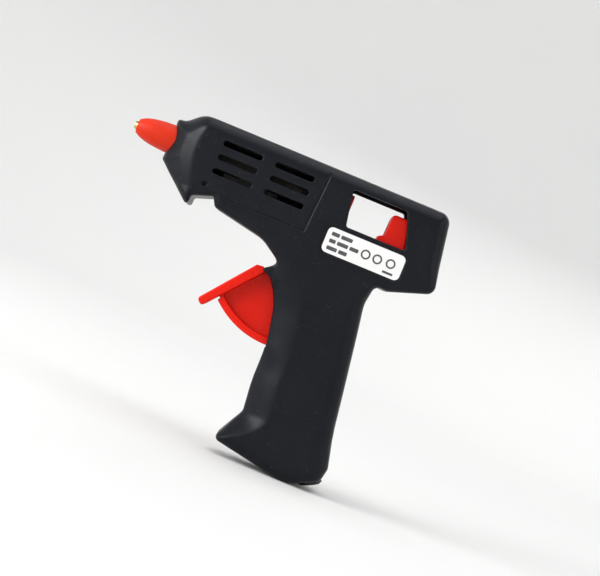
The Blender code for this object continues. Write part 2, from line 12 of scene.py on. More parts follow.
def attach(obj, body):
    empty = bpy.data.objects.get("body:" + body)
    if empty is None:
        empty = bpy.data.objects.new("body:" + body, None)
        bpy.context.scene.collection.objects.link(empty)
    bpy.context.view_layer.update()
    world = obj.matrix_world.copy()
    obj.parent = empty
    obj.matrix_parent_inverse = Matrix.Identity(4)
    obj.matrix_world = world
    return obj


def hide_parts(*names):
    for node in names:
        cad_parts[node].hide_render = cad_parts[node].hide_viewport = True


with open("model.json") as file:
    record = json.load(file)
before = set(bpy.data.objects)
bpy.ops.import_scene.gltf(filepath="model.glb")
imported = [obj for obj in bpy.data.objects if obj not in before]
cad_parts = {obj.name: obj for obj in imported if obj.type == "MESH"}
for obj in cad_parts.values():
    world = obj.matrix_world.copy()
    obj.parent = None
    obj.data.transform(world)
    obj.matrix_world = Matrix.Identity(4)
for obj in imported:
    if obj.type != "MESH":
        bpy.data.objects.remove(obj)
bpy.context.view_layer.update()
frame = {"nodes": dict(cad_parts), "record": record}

MM = 0.001

# ---- the housing's driving sizes, millimetres, as the frame has them ----
AXIS_Z = 105.7
COLLAR_X = -50.9
BODY_TOP = 119.3
BODY_HALF = 13.0
WALL = 2.1
PARTING = 0.15
PIVOT = (13.5, 80.3)
ARM_PIN = (17.9, 97.8)
TRIGGER_ARC_R = 34.5
SCREWS = ((-37.6, 91.0), (-2.0, 88.0), (58.5, 90.0), (35.5, 66.0), (33.0, 12.0))
VENT_ROWS = (111.5, 105.9, 100.2)
VENT_COLUMNS = ((-30.2, -14.2), (-8.8, 7.2))
LABEL_LOW = (19.4, 87.7)
LABEL_HIGH = (51.3, 97.7)
GLAND_CENTRE = (49.8, 3.4)
GLAND_AXIS = (0.44, -0.898)
HOUSING = (
    (COLLAR_X, 114.1, 1.2), (-47.8, 114.3, 6.0), (-41.5, BODY_TOP, 9.0), (61.2, BODY_TOP, 4.6),
    (66.4, 88.6, 3.5), (49.4, 82.7, 4.0), (44.3, 83.0, 2.5), (43.2, 75.0, 12.0), (45.2, 63.5, 30.0),
    (48.7, 41.5, 60.0), (51.4, 23.9, 60.0), (54.6, 10.8, 2.6), (53.4, 5.2, 2.6), (44.6, 0.9, 6.0),
    (38.0, -0.43, 16.0), (26.0, 2.1, 20.0), (8.6, 5.2, 2.0), (15.6, 18.6, 4.0), (14.2, 31.0, 40.0),
    (14.1, 46.0, 40.0), (11.0, 61.0, 25.0), (6.2, 70.6, 7.0), (5.9, 77.6, 3.6), (-2.9, 83.3, 14.0),
    (-24.3, 87.4, 2.2), (-26.2, 91.0, 0.8), (-34.2, 88.2, 1.2), (-34.4, 83.6, 2.0), (COLLAR_X, 97.3, 1.2),
)
BROW = ((2.0, 72.2), (2.3, 73.4), (5.4, 75.4), (8.4, 77.4), (8.4, 68.2), (6.4, 70.6))
WINDOW = ((22.5, 114.1, 1.0), (44.9, 114.1, 1.0), (49.7, 99.7, 1.0), (25.2, 99.7, 1.0))
TRIGGER_SLOT = (
    (0.0, 76.4), (4.6, 76.6), (6.2, 79.1), (12.0, 79.1),
    (22.0, 60.0), (22.0, 45.2), (6.0, 45.2), (-2.0, 70.0),
)
# front, rear, bottom and top of the ribs round the chamber, and of the carriage's ledge
SADDLES = ((-39.0, -37.4, 95.2, 118.0), (1.0, 2.6, 97.0, 109.0))
RAIL = (26.0, 52.0, 91.2, 93.3)
STAND_HOLE = (-31.0, 94.2)
PANEL_LINE = ((-23.2, 91.8), (10.8, 91.8), (12.3, 116.0))
FINGER_PLATE = (
    (-0.9, 73.4, 0.8), (-17.4, 52.6, 1.4), (-14.9, 50.4, 1.2), (3.2, 71.9, 0.8), (1.9, 73.6, 0.6),
)
RIM_START, RIM_END = -132.5, -78.0       # degrees round the trigger's pivot
RIM_THICK = 2.8
CARRIAGE = (
    (40.3, 111.5, 1.8), (47.2, 111.5, 1.4), (49.8, 99.8, 1.0), (49.8, 93.6, 0.6),
    (37.8, 93.6, 0.6), (37.8, 101.3, 0.6), (40.0, 102.6, 0.6),
)
CARRIAGE_HALF = 7.0
LABEL_DEPTH = 0.6                        # depth of the label's recess
LABEL_THICK = 0.25
LABEL_FACE = -(BODY_HALF - LABEL_DEPTH + 0.3 + LABEL_THICK)
INK_THICK = 0.028

# the camera looks along +Y at this point, X and Z in millimetres, rolled about its own axis
VIEW_CENTRE = (17.9, 71.3)
VIEW_DISTANCE = 0.65
VIEW_WIDTH = 0.234
VIEW_ROLL = 22.5


# ---- outlines ----
def rounded(corners, step_degrees=8.0):
    """The points of an outline whose corners, X, Z and radius, are rounded."""
    points = []
    count = len(corners)
    for i, (x, z, radius) in enumerate(corners):
        here = Vector((x, z))
        before = Vector(corners[i - 1][:2])
        after = Vector(corners[(i + 1) % count][:2])
        into = (here - before).normalized()
        out = (after - here).normalized()
        turn = math.atan2(into.cross(out), into.dot(out))
        if radius < 0.05 or abs(turn) < 0.01:
            points.append((x, z))
            continue
        reach = radius * math.tan(abs(turn) / 2)
        reach = min(reach, (here - before).length * 0.49, (after - here).length * 0.49)
        radius = reach / math.tan(abs(turn) / 2)
        start = here - into * reach
        centre = start + Vector((-into.y, into.x)) * math.copysign(radius, turn)
        steps = max(1, math.ceil(abs(math.degrees(turn)) / step_degrees))
        for k in range(steps + 1):
            points.append(tuple(centre + Matrix.Rotation(turn * k / steps, 2) @ (start - centre)))
    return points


def arc_points(centre, radius, start, end, steps):
    angles = np.radians(np.linspace(start, end, steps + 1))
    return [(centre[0] + radius * math.cos(a), centre[1] + radius * math.sin(a)) for a in angles]


# ---- distance fields, millimetres; negative inside ----
def polygon_field(x, z, points):
    """Signed distance to a polygon in X and Z."""
    best = np.full(np.broadcast(x, z).shape, 1e9)
    inside = np.zeros(best.shape, dtype=bool)
    for (ax, az), (bx, bz) in zip(points, points[1:] + points[:1]):
        ex, ez = bx - ax, bz - az
        wx, wz = x - ax, z - az
        t = np.clip((wx * ex + wz * ez) / max(ex * ex + ez * ez, 1e-12), 0, 1)
        best = np.minimum(best, (wx - ex * t) ** 2 + (wz - ez * t) ** 2)
        crosses = (az > z) != (bz > z)
        if abs(ez) > 1e-9:
            inside ^= crosses & (x < ax + ex * (z - az) / ez)
    return np.where(inside, -np.sqrt(best), np.sqrt(best))


class OutlineField:
    """A polygon's signed distance, read from a fine grid."""

    def __init__(self, points, low, high, pitch=0.15):
        self.low, self.pitch = low, pitch
        x = np.arange(low[0], high[0] + pitch, pitch)[:, None]
        z = np.arange(low[1], high[1] + pitch, pitch)[None, :]
        self.grid = polygon_field(x, z, points)

    def __call__(self, x, z):
        u, v = np.broadcast_arrays((x - self.low[0]) / self.pitch, (z - self.low[1]) / self.pitch)
        i = np.clip(u.astype(int), 0, self.grid.shape[0] - 2)
        j = np.clip(v.astype(int), 0, self.grid.shape[1] - 2)
        s, t = u - i, v - j
        g = self.grid
        below = g[i, j] * (1 - s) + g[i + 1, j] * s
        above = g[i, j + 1] * (1 - s) + g[i + 1, j + 1] * s
        return below * (1 - t) + above * t


def smooth_min(a, b, k):
    h = np.clip(0.5 + 0.5 * (b - a) / k, 0, 1)
    return b + (a - b) * h - k * h * (1 - h)


def smooth_max(a, b, k):
    return -smooth_min(-a, -b, k)


def ramp(value, low, high):
    """Eased step from 0 to 1."""
    t = np.clip((value - low) / (high - low), 0, 1)
    return t * t * (3 - 2 * t)


def plate_field(flat, across, half, edge):
    """A flat outline of the given half thickness with rounded edges."""
    u = flat + edge
    v = across - half + edge
    return np.hypot(np.maximum(u, 0), np.maximum(v, 0)) + np.minimum(np.maximum(u, v), 0) - edge


def eased_plate_field(flat, across, half, reach, drop, power):
    """A flat outline whose edges are eased over one distance in the plane and another across it."""
    u = (flat + reach) / reach
    v = (across - half + drop) / drop
    corner = (np.maximum(u, 0) ** power + np.maximum(v, 0) ** power) ** (1 / power)
    return (corner - 1 + np.minimum(np.maximum(u, v), 0)) * np.minimum(reach, drop)


def segment_field(x, z, a, b):
    ex, ez = b[0] - a[0], b[1] - a[1]
    t = np.clip(((x - a[0]) * ex + (z - a[1]) * ez) / (ex * ex + ez * ez), 0, 1)
    return np.hypot(x - a[0] - ex * t, z - a[1] - ez * t)


def column_field(x, y, z, centre, radius, y_low, y_high):
    """A cylinder across the gun."""
    side = np.hypot(x - centre[0], z - centre[1]) - radius
    ends = np.maximum(y_low - y, y - y_high)
    return np.maximum(side, ends)


def box_field(x, y, z, low, high):
    u = np.maximum(low[0] - x, x - high[0])
    v = np.maximum(low[1] - y, y - high[1])
    w = np.maximum(low[2] - z, z - high[2])
    return np.maximum(np.maximum(u, v), w)


# ---- meshes from fields ----
def surface_net(field, low, step):
    """Vertices and quads of the zero surface of a sampled field."""
    cells = tuple(n - 1 for n in field.shape)
    inside = field < 0
    total = np.zeros((*cells, 3))
    hits = np.zeros(cells)
    for axis in range(3):
        others = [a for a in range(3) if a != axis]
        near = [slice(None)] * 3
        far = [slice(None)] * 3
        near[axis], far[axis] = slice(0, -1), slice(1, None)
        a, b = field[tuple(near)], field[tuple(far)]
        changes = inside[tuple(near)] != inside[tuple(far)]
        share = np.where(changes, a / np.where(changes, a - b, 1), 0)
        for p in (0, 1):
            for q in (0, 1):
                pick = [slice(None)] * 3
                pick[others[0]] = slice(p, p + cells[others[0]])
                pick[others[1]] = slice(q, q + cells[others[1]])
                hit = changes[tuple(pick)]
                hits += hit
                total[..., axis] += share[tuple(pick)] * hit
                total[..., others[0]] += p * hit
                total[..., others[1]] += q * hit
    active = hits > 0
    index = np.full(cells, -1, dtype=np.int64)
    index[active] = np.arange(active.sum())
    corner = np.argwhere(active)
    points = (corner + total[active] / hits[active][:, None]) * step + np.array(low)
    quads = []
    for axis in range(3):
        u, v = [(1, 2), (2, 0), (0, 1)][axis]
        near = [slice(None)] * 3
        far = [slice(None)] * 3
        near[axis], far[axis] = slice(0, -1), slice(1, None)
        first, second = inside[tuple(near)], inside[tuple(far)]
        where = np.argwhere(first != second)
        keep = (where[:, u] > 0) & (where[:, v] > 0)
        keep &= (where[:, u] < cells[u]) & (where[:, v] < cells[v])
        where = where[keep]
        leaving = first[tuple(where.T)]
        around = []
        for du, dv in ((-1, -1), (0, -1), (0, 0), (-1, 0)):
            cell = where.copy()
            cell[:, u] += du
            cell[:, v] += dv
            around.append(index[tuple(cell.T)])
        quad = np.stack(around, axis=1)
        quad[~leaving] = quad[~leaving][:, ::-1]
        quads.append(quad)
    return points, np.concatenate(quads)


def settle(points, field, rounds=2):
    """Move points onto the field's zero surface."""
    delta = 0.05
    for _ in range(rounds):
        x, y, z = points.T
        value = field(x, y, z)
        slope = np.stack((
            field(x + delta, y, z) - field(x - delta, y, z),
            field(x, y + delta, z) - field(x, y - delta, z),
            field(x, y, z + delta) - field(x, y, z - delta),
        ), axis=1) / (2 * delta)
        size = np.maximum((slope**2).sum(axis=1), 0.25)
        move = slope * (value / size)[:, None]
        points = points - np.clip(move, -0.2, 0.2)
    return points


def new_piece(name, mesh, body, replaced=()):
    item = bpy.data.objects.new(name, mesh)
    bpy.context.scene.collection.objects.link(item)
    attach(item, body)
    if replaced:
        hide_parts(*replaced)
    return item


def field_mesh(name, field, low, high, step, keep=None):
    """A mesh in metres of the zero surface of a field between two corners in millimetres."""
    axes = [np.arange(a, b + step, step) for a, b in zip(low, high)]
    x, y, z = np.meshgrid(*axes, indexing="ij", sparse=True)
    points, quads = surface_net(field(x, y, z), low, step)
    points = settle(points, field)
    mesh = bpy.data.meshes.new(name)
    mesh.from_pydata(points * MM, [], quads.tolist())
    mesh.validate()
    if keep:
        item = bpy.data.objects.new(name, mesh)
        bpy.context.scene.collection.objects.link(item)
        thin = item.modifiers.new("thin", "DECIMATE")
        thin.ratio = keep
        graph = bpy.context.evaluated_depsgraph_get()
        fine = mesh
        mesh = bpy.data.meshes.new_from_object(item.evaluated_get(graph))
        mesh.name = name
        bpy.data.objects.remove(item)
        bpy.data.meshes.remove(fine)
    mesh.shade_smooth()
    return mesh


def revolve(bm, geometry, sides):
    """One full turn round Z."""
    bmesh.ops.spin(
        bm, geom=geometry, cent=(0, 0, 0), axis=(0, 0, 1),
        angle=math.tau, steps=sides, use_merge=True,
    )


def turned_mesh(name, profile, origin, axis, sides=72):
    """A closed profile of distance along the axis and radius, turned round it; millimetres."""
    bm = bmesh.new()
    ring = [bm.verts.new((radius, 0, along)) for along, radius in profile]
    edges = [bm.edges.new((ring[i - 1], ring[i])) for i in range(len(ring))]
    revolve(bm, ring + edges, sides)
    bmesh.ops.remove_doubles(bm, verts=bm.verts, dist=1e-4)
    bmesh.ops.recalc_face_normals(bm, faces=bm.faces)
    turn = Vector(axis).to_track_quat("Z", "X").to_matrix().to_4x4()
    place = Matrix.Scale(MM, 4) @ Matrix.Translation(origin) @ turn
    bmesh.ops.transform(bm, verts=bm.verts, matrix=place)
    mesh = bpy.data.meshes.new(name)
    bm.to_mesh(mesh)
    bm.free()
    mesh.shade_smooth()
    mesh.set_sharp_from_angle(angle=math.radians(40))
    return mesh


# ---- materials ----
class Shader:
    """A Principled material whose colour, roughness and bump come from nodes."""

    def __init__(self, name, colour, roughness, metallic=0.0):
        self.material = bpy.data.materials.new(name)
        self.material.use_nodes = True
        self.tree = self.material.node_tree
        self.surface = self.tree.nodes["Principled BSDF"]
        self.surface.inputs["Base Color"].default_value = (*colour, 1)
        self.surface.inputs["Roughness"].default_value = roughness
        self.surface.inputs["Metallic"].default_value = metallic
        self.colour = colour
        self.roughness = roughness
        self.place = self.node("ShaderNodeTexCoord").outputs["Object"]

    def node(self, kind, **values):
        made = self.tree.nodes.new(kind)
        for key, value in values.items():
            setattr(made, key, value)
        return made

    def link(self, a, b):
        self.tree.links.new(a, b)

    def noise(self, scale, detail=2.0, roughness=0.5):
        noise = self.node("ShaderNodeTexNoise")
        noise.inputs["Scale"].default_value = scale
        noise.inputs["Detail"].default_value = detail
        noise.inputs["Roughness"].default_value = roughness
        self.link(self.place, noise.inputs["Vector"])
        return noise.outputs["Fac"]

    def remap(self, value, low, high, to_low, to_high):
        node = self.node("ShaderNodeMapRange")
        limits = {"From Min": low, "From Max": high, "To Min": to_low, "To Max": to_high}
        for key, number in limits.items():
            node.inputs[key].default_value = number
        self.link(value, node.inputs["Value"])
        return node.outputs["Result"]

    def mix(self, factor, first, second):
        node = self.node("ShaderNodeMix", data_type="RGBA")
        self.link(factor, node.inputs["Factor"])
        for socket, value in ((node.inputs[6], first), (node.inputs[7], second)):
            if hasattr(value, "is_linked"):
                self.link(value, socket)
            else:
                socket.default_value = (*value, 1)
        return node.outputs[2]

    def vary_colour(self, other, scale, low=0.35, high=0.65, detail=3.0):
        blend = self.remap(self.noise(scale, detail), low, high, 0, 1)
        self.link(self.mix(blend, self.colour, other), self.surface.inputs["Base Color"])
        return self

    def vary_roughness(self, spread, scale, detail=3.0):
        low, high = self.roughness - spread, self.roughness + spread
        value = self.remap(self.noise(scale, detail), 0.3, 0.7, low, high)
        self.link(value, self.surface.inputs["Roughness"])
        return self

    def bump(self, height, strength, distance):
        bump = self.node("ShaderNodeBump")
        bump.inputs["Strength"].default_value = strength
        bump.inputs["Distance"].default_value = distance
        self.link(height, bump.inputs["Height"])
        previous = self.surface.inputs["Normal"]
        if previous.is_linked:
            self.link(previous.links[0].from_socket, bump.inputs["Normal"])
        self.link(bump.outputs["Normal"], previous)
        return self

    def grain(self, scale, strength, distance, detail=2.0):
        return self.bump(self.noise(scale, detail), strength, distance)


def housing_plastic():
    """Charcoal ABS with a fine spark-eroded grain and a faint bloom."""
    s = Shader("housing_plastic_fine", (0.0034, 0.0044, 0.0074), 0.35)
    s.surface.inputs["Specular IOR Level"].default_value = 0.17
    s.vary_colour((0.0052, 0.0062, 0.0094), 55, 0.3, 0.7)
    clouded = s.surface.inputs["Base Color"].links[0].from_socket
    specks = s.remap(s.noise(1500, 1.0), 0.70, 0.76, 0, 1)
    s.link(s.mix(specks, clouded, (0.030, 0.032, 0.036)), s.surface.inputs["Base Color"])
    s.vary_roughness(0.05, 260)
    s.grain(2600, 0.22, 0.00006)
    s.grain(420, 0.06, 0.0001)
    return s.material


def red_plastic(name, colour, deep, roughness=0.3):
    """Glossy coloured moulding with faint flow marks."""
    s = Shader(name, colour, roughness)
    s.surface.inputs["Specular IOR Level"].default_value = 0.15
    s.surface.inputs["Subsurface Weight"].default_value = 0.12
    s.surface.inputs["Subsurface Scale"].default_value = 0.0015
    s.surface.inputs["Subsurface Radius"].default_value = (1.0, 0.25, 0.12)
    s.vary_colour(deep, 25, 0.3, 0.75, 1.5)
    s.vary_roughness(0.05, 500)
    s.grain(900, 0.05, 0.00008)
    return s.material


def silicone(name, colour, deep):
    s = Shader(name, colour, 0.44)
    s.surface.inputs["Specular IOR Level"].default_value = 0.18
    s.surface.inputs["Subsurface Weight"].default_value = 0.15
    s.surface.inputs["Subsurface Scale"].default_value = 0.002
    s.surface.inputs["Subsurface Radius"].default_value = (1.0, 0.3, 0.15)
    s.vary_colour(deep, 90, 0.3, 0.7)
    s.vary_roughness(0.06, 400)
    s.grain(1500, 0.12, 0.00006)
    return s.material


def metal(name, colour, tarnish, roughness, scale=700.0):
    """Worked metal: brushed streaks and small stains."""
    s = Shader(name, colour, roughness, 1.0)
    s.vary_colour(tarnish, 180, 0.35, 0.75)
    s.vary_roughness(0.08, scale)
    stretch = s.node("ShaderNodeMapping")
    stretch.inputs["Scale"].default_value = (200, 3500, 3500)
    s.link(s.place, stretch.inputs["Vector"])
    streaks = s.node("ShaderNodeTexNoise")
    streaks.inputs["Scale"].default_value = 1.0
    streaks.inputs["Detail"].default_value = 2.0
    s.link(stretch.outputs["Vector"], streaks.inputs["Vector"])
    s.bump(streaks.outputs["Fac"], 0.12, 0.00003)
    return s.material


def plain(name, colour, other, roughness, scale=200.0, grain=1200.0, strength=0.1):
    s = Shader(name, colour, roughness)
    s.vary_colour(other, scale)
    s.vary_roughness(0.05, scale * 2)
    s.grain(grain, strength, 0.00005)
    return s.material


WHITE_VINYL = (0.80, 0.80, 0.79)
AGED_VINYL = (0.76, 0.76, 0.75)
MATERIALS = {
    "housing_plastic": housing_plastic(),
    "cover_silicone": silicone("cover_silicone_fine", (0.61, 0.026, 0.004), (0.54, 0.020, 0.003)),
    "trigger_plastic": red_plastic("trigger_red", (0.70, 0.011, 0.0025), (0.62, 0.008, 0.002)),
    "carriage_plastic": red_plastic("carriage_red", (0.76, 0.013, 0.004), (0.70, 0.010, 0.003), 0.24),
    "brass": metal("turned_brass", (0.62, 0.42, 0.16), (0.45, 0.28, 0.10), 0.28),
    "steel": metal("zinc_steel", (0.50, 0.50, 0.51), (0.38, 0.37, 0.35), 0.30),
    "aluminium": metal("blackened_aluminium", (0.050, 0.047, 0.044), (0.030, 0.026, 0.023), 0.55),
    "ceramic": plain("fired_ceramic", (0.46, 0.43, 0.38), (0.38, 0.35, 0.31), 0.7),
    "film": plain("amber_film", (0.50, 0.24, 0.04), (0.42, 0.18, 0.03), 0.3),
    "label_vinyl": plain("label_white", WHITE_VINYL, AGED_VINYL, 0.36, 90.0, 900.0, 0.03),
    "rubber": plain("black_rubber", (0.010, 0.010, 0.011), (0.016, 0.016, 0.017), 0.55, 300.0, 1800.0, 0.15),
    "lead_white": plain("lead_sleeve", (0.72, 0.71, 0.67), (0.64, 0.62, 0.58), 0.5, 300.0, 3000.0, 0.2),
}
DARK_STEEL = metal("blued_steel", (0.030, 0.029, 0.030), (0.020, 0.017, 0.015), 0.5)


def sleeve_plastic():
    """Red moulding with painted shade: darker towards the chamber end, which lies inside the housing behind
    the vents.
    """
    sleeve_colour, painted_shade_colour = (0.60, 0.014, 0.006), (0.012, 0.006, 0.005)
    s = Shader("sleeve_red", sleeve_colour, 0.4)
    s.surface.inputs["Specular IOR Level"].default_value = 0.25
    across = s.node("ShaderNodeSeparateXYZ")
    s.link(s.place, across.inputs["Vector"])
    # painted shade: the end towards the chamber, seen through the vents, is mixed to near black
    unshaded_share = s.remap(across.outputs["X"], 0.011, 0.019, 0, 1)
    s.link(s.mix(unshaded_share, painted_shade_colour, sleeve_colour), s.surface.inputs["Base Color"])
    s.vary_roughness(0.05, 300)
    s.grain(900, 0.08, 0.00008)
    return s.material


SLEEVE_RED = sleeve_plastic()
PRINT_INK = plain("label_ink", (0.055, 0.055, 0.060), (0.075, 0.075, 0.080), 0.45, 800.0, 2500.0, 0.05)


def dress(item, slot):
    item.data.materials.clear()
    item.data.materials.append(MATERIALS[slot])
    return item


# ---- housing shells ----
SIDE_OUTLINE = OutlineField(rounded(HOUSING), (-56.0, -5.0), (71.0, 125.0))
WINDOW_OUTLINE = OutlineField(rounded(WINDOW), (18.0, 95.0), (54.0, 119.0))


def blend(a, b, share):
    return a + (b - a) * share


def housing_field(x, y, z, outline):
    """The closed outer form of the gun: barrel, nose, fairing and grip."""
    grip = 1 - ramp(z, 70, 86)
    front = 1 - ramp(x, 26, 37)
    low = 1 - ramp(z, 3, 20)
    grip_reach = blend(blend(7.0, 10.8, front), 4.2, low)
    grip_drop = blend(blend(6.5, blend(8.6, 5.3, ramp(z, 36, 47)), front), 4.2, low)
    barrel_edge = blend(2.6, 6.0, ramp(z, 89, 101))
    barrel_edge = blend(blend(2.4, 8.3, ramp(z, 92, 99)), barrel_edge, ramp(x, -48, -39))
    reach = blend(barrel_edge, grip_reach, grip)
    drop = blend(barrel_edge, grip_drop, grip)
    # the nose narrows in front of a curved shoulder line
    shoulder = -39.4 + 0.015 * np.minimum(np.abs(z - 106), 15) ** 2
    half = smooth_min(BODY_HALF + 0 * x, BODY_HALF - 0.5 * (shoulder - x), 0.7)
    half = smooth_max(half, 8.6 + 0 * x, 1.5)
    half = half - 0.7 * (1 - ramp(z, 66, 84))
    # the front of the grip is nearly a flat chamfer, every other edge is round
    power = blend(2.0, 1.35, front * (1 - ramp(z, 60, 84)) * ramp(z, 2, 14))
    return eased_plate_field(outline, np.abs(y), half, reach, drop, power)


def vents_field(x, z):
    best = None
    for row in VENT_ROWS:
        for low, high in VENT_COLUMNS:
            slot = segment_field(x, z, (low + 1.1, row), (high - 1.1, row)) - 1.1
            best = slot if best is None else np.minimum(best, slot)
    return best


def label_recess(x, z, corner):
    """A rounded rectangle 0.3 mm larger than the label all round."""
    past = []
    for value, low, high in zip((x, z), LABEL_LOW, LABEL_HIGH):
        half = (high - low) / 2 + 0.3 - corner
        past.append(np.maximum(np.abs(value - (low + high) / 2) - half, 0))
    return np.hypot(*past) - corner


def shell_field(side):
    """Everything about one shell; side is -1 for the left, 1 for the right."""

    def field(x, y, z):
        out = side * y                       # distance from the parting plane
        flat = SIDE_OUTLINE(x, z)
        body = housing_field(x, y, z, flat)
        shell = smooth_max(body, -(body + WALL), 0.3)
        inner = BODY_HALF - WALL + 0.2
        for centre in SCREWS:
            boss = column_field(x, out, z, centre, 3.2, PARTING, inner)
            shell = smooth_min(shell, np.maximum(boss, body), 0.6)
        shell = smooth_min(shell, column_field(x, out, z, PIVOT, 3.4, 8.2, inner), 0.5)
        for low_x, high_x, low_z, high_z in SADDLES:
            saddle = box_field(x, out, z, (low_x, 1.0, low_z), (high_x, inner, high_z))
            shell = smooth_min(shell, np.maximum(saddle, body), 0.4)
        rail = box_field(x, out, z, (RAIL[0], 4.0, RAIL[2]), (RAIL[1], inner, RAIL[3]))
        shell = smooth_min(shell, rail, 0.3)
        brow = plate_field(polygon_field(x, z, list(BROW)), np.abs(out - 7.9), 1.3, 0.6)
        shell = smooth_min(shell, brow, 1.6)

        ring = np.hypot(y, z - AXIS_Z)
        shell = smooth_max(shell, -np.maximum(ring - 6.1, x + 47.0), 0.35)
        shell = smooth_max(shell, -np.maximum(ring - 6.8, np.abs(x + 43.75) - 3.85), 0.2)
        shell = np.maximum(shell, -np.maximum(ring - 6.7, np.abs(x + 19) - 22.0))
        shell = smooth_max(shell, -np.maximum(ring - 4.3, 58.0 - x), 0.7)
        shell = smooth_max(shell, -WINDOW_OUTLINE(x, z), 0.55)
        shell = smooth_max(shell, -vents_field(x, z), 0.4)
        passage = np.maximum(polygon_field(x, z, list(TRIGGER_SLOT)), np.abs(y) - 6.9)
        shell = smooth_max(shell, -passage, 0.5)

        gx, gz = x - GLAND_CENTRE[0], z - GLAND_CENTRE[1]
        along = gx * GLAND_AXIS[0] + gz * GLAND_AXIS[1]
        apart = np.hypot(gx * GLAND_AXIS[1] - gz * GLAND_AXIS[0], y)
        shell = smooth_max(shell, -np.maximum(apart - 3.8, -6.0 - along), 0.3)
        shell = np.maximum(shell, -np.maximum(apart - 4.6, np.maximum(along + 2.3, -6.0 - along)))

        # the panel line on the barrel's side, a narrow groove
        line = np.minimum(segment_field(x, z, *PANEL_LINE[:2]), segment_field(x, z, *PANEL_LINE[1:]))
        shell = smooth_max(shell, -np.maximum(line - 0.25, -0.4 - body), 0.2)
        # a small blind hole on each side of the front notch
        shell = smooth_max(shell, -column_field(x, out, z, STAND_HOLE, 1.0, 11.4, 16.0), 0.25)
        shell = smooth_max(shell, -column_field(x, out, z, PIVOT, 1.8, 6.0, 10.7), 0.1)
        for centre in SCREWS:
            if side > 0:
                shell = smooth_max(shell, -column_field(x, out, z, centre, 1.7, -1, 12), 0.1)
                shell = smooth_max(shell, -column_field(x, out, z, centre, 2.9, 10.4, 16), 0.4)
            else:
                shell = smooth_max(shell, -column_field(x, out, z, centre, 1.7, -1, 8.6), 0.1)
        if side < 0:
            recess = np.maximum(label_recess(x, z, 1.9), BODY_HALF - LABEL_DEPTH - out)
            shell = smooth_max(shell, -recess, 0.2)
        return smooth_max(shell, PARTING - out, 0.45)

    return field


def make_shells():
    step = 0.42
    for side, name, node in ((-1, "left_housing", "left_shell"), (1, "right_housing", "right_shell")):
        low = (-52.0, -14.0 if side < 0 else -1.0, -1.5)
        high = (67.5, 1.0 if side < 0 else 14.0, 120.5)
        mesh = field_mesh(name, shell_field(side), low, high, step, keep=0.5)
        dress(new_piece(name, mesh, "housing", (node,)), "housing_plastic")


# ---- trigger ----
def trigger_field(x, y, z):
    px, pz = PIVOT
    apart = np.abs(y)
    radius = np.hypot(x - px, z - pz)
    plate = plate_field(polygon_field(x, z, rounded(FINGER_PLATE)), apart, 6.5, 0.7)
    start = RIM_START - 1.5
    rim_points = arc_points(PIVOT, TRIGGER_ARC_R, RIM_START, RIM_END, 24)
    rim_points += arc_points(PIVOT, TRIGGER_ARC_R - RIM_THICK, RIM_END, start, 24)
    rim = plate_field(polygon_field(x, z, rim_points), apart, 5.0, 0.35)
    web_points = arc_points(PIVOT, TRIGGER_ARC_R - RIM_THICK / 2, start, RIM_END - 1.0, 24)
    web_points += [(px + 3.0, pz - 3.0), (px - 1.0, pz + 3.0), (px - 7.6, pz - 6.2), (px - 11.9, pz - 8.9)]
    web = plate_field(polygon_field(x, z, web_points), apart, 1.5, 0.2)
    whole = smooth_min(smooth_min(web, rim, 0.8), plate, 0.9)
    hub = np.maximum(radius - 4.2, apart - 7.8)
    whole = smooth_min(whole, hub, 0.5)
    ax, az = ARM_PIN
    arm_points = rounded((
        (px - 3.4, pz - 1.0, 0.5), (ax - 2.1, az + 0.6, 2.0), (ax - 0.4, az + 2.3, 1.6),
        (ax + 2.1, az + 0.9, 1.6), (ax + 1.9, az - 1.2, 1.0), (px + 4.0, pz - 1.0, 0.5),
    ))
    arm = plate_field(polygon_field(x, z, arm_points), np.abs(y - 6.2), 1.0, 0.2)
    whole = smooth_min(whole, arm, 0.5)
    whole = smooth_max(whole, -(radius - 1.8), 0.15)
    pin_hole = np.maximum(np.hypot(x - ax, z - az) - 1.4, np.abs(y - 6) - 2.5)
    return smooth_max(whole, -pin_hole, 0.15)


def make_trigger():
    step = 0.28
    low, high = (-19.0, -8.5, 44.5), (22.0, 8.5, 101.5)
    mesh = field_mesh("trigger_lever", trigger_field, low, high, step, keep=0.5)
    dress(new_piece("trigger_lever", mesh, "trigger", ("trigger",)), "trigger_plastic")


# ---- feed carriage ----
def carriage_field(x, y, z):
    block = plate_field(polygon_field(x, z, rounded(CARRIAGE)), np.abs(y), CARRIAGE_HALF, 0.7)
    hole = np.hypot(y, z - AXIS_Z) - 4.1
    block = smooth_max(block, -hole, 0.5)
    block = smooth_max(block, -box_field(x, y, z, (42.0, -2.0, 90.0), (48.2, 2.0, 103.0)), 0.2)
    block = smooth_max(block, -column_field(x, y, z, (45.6, 96.4), 1.4, -5.5, 5.5), 0.1)
    return smooth_max(block, -column_field(x, y, z, (41.0, 97.8), 1.4, 4.4, 8.0), 0.1)


def make_carriage():
    step = 0.22
    low, high = (37.0, -8.0, 92.6), (50.8, 8.0, 112.6)
    mesh = field_mesh("carriage_block", carriage_field, low, high, step, keep=0.5)
    piece = new_piece("carriage_block", mesh, "carriage", ("feed_carriage",))
    dress(piece, "carriage_plastic")


# ---- turned pieces ----
def on_axis(name, corners, node, slot, sides=72):
    """A piece turned round the stick axis; corners are X, radius and the corner's own rounding."""
    mesh = turned_mesh(name, rounded(corners, 12.0), (0, 0, AXIS_Z), (1, 0, 0), sides)
    return dress(new_piece(name, mesh, "housing", (node,)), slot)


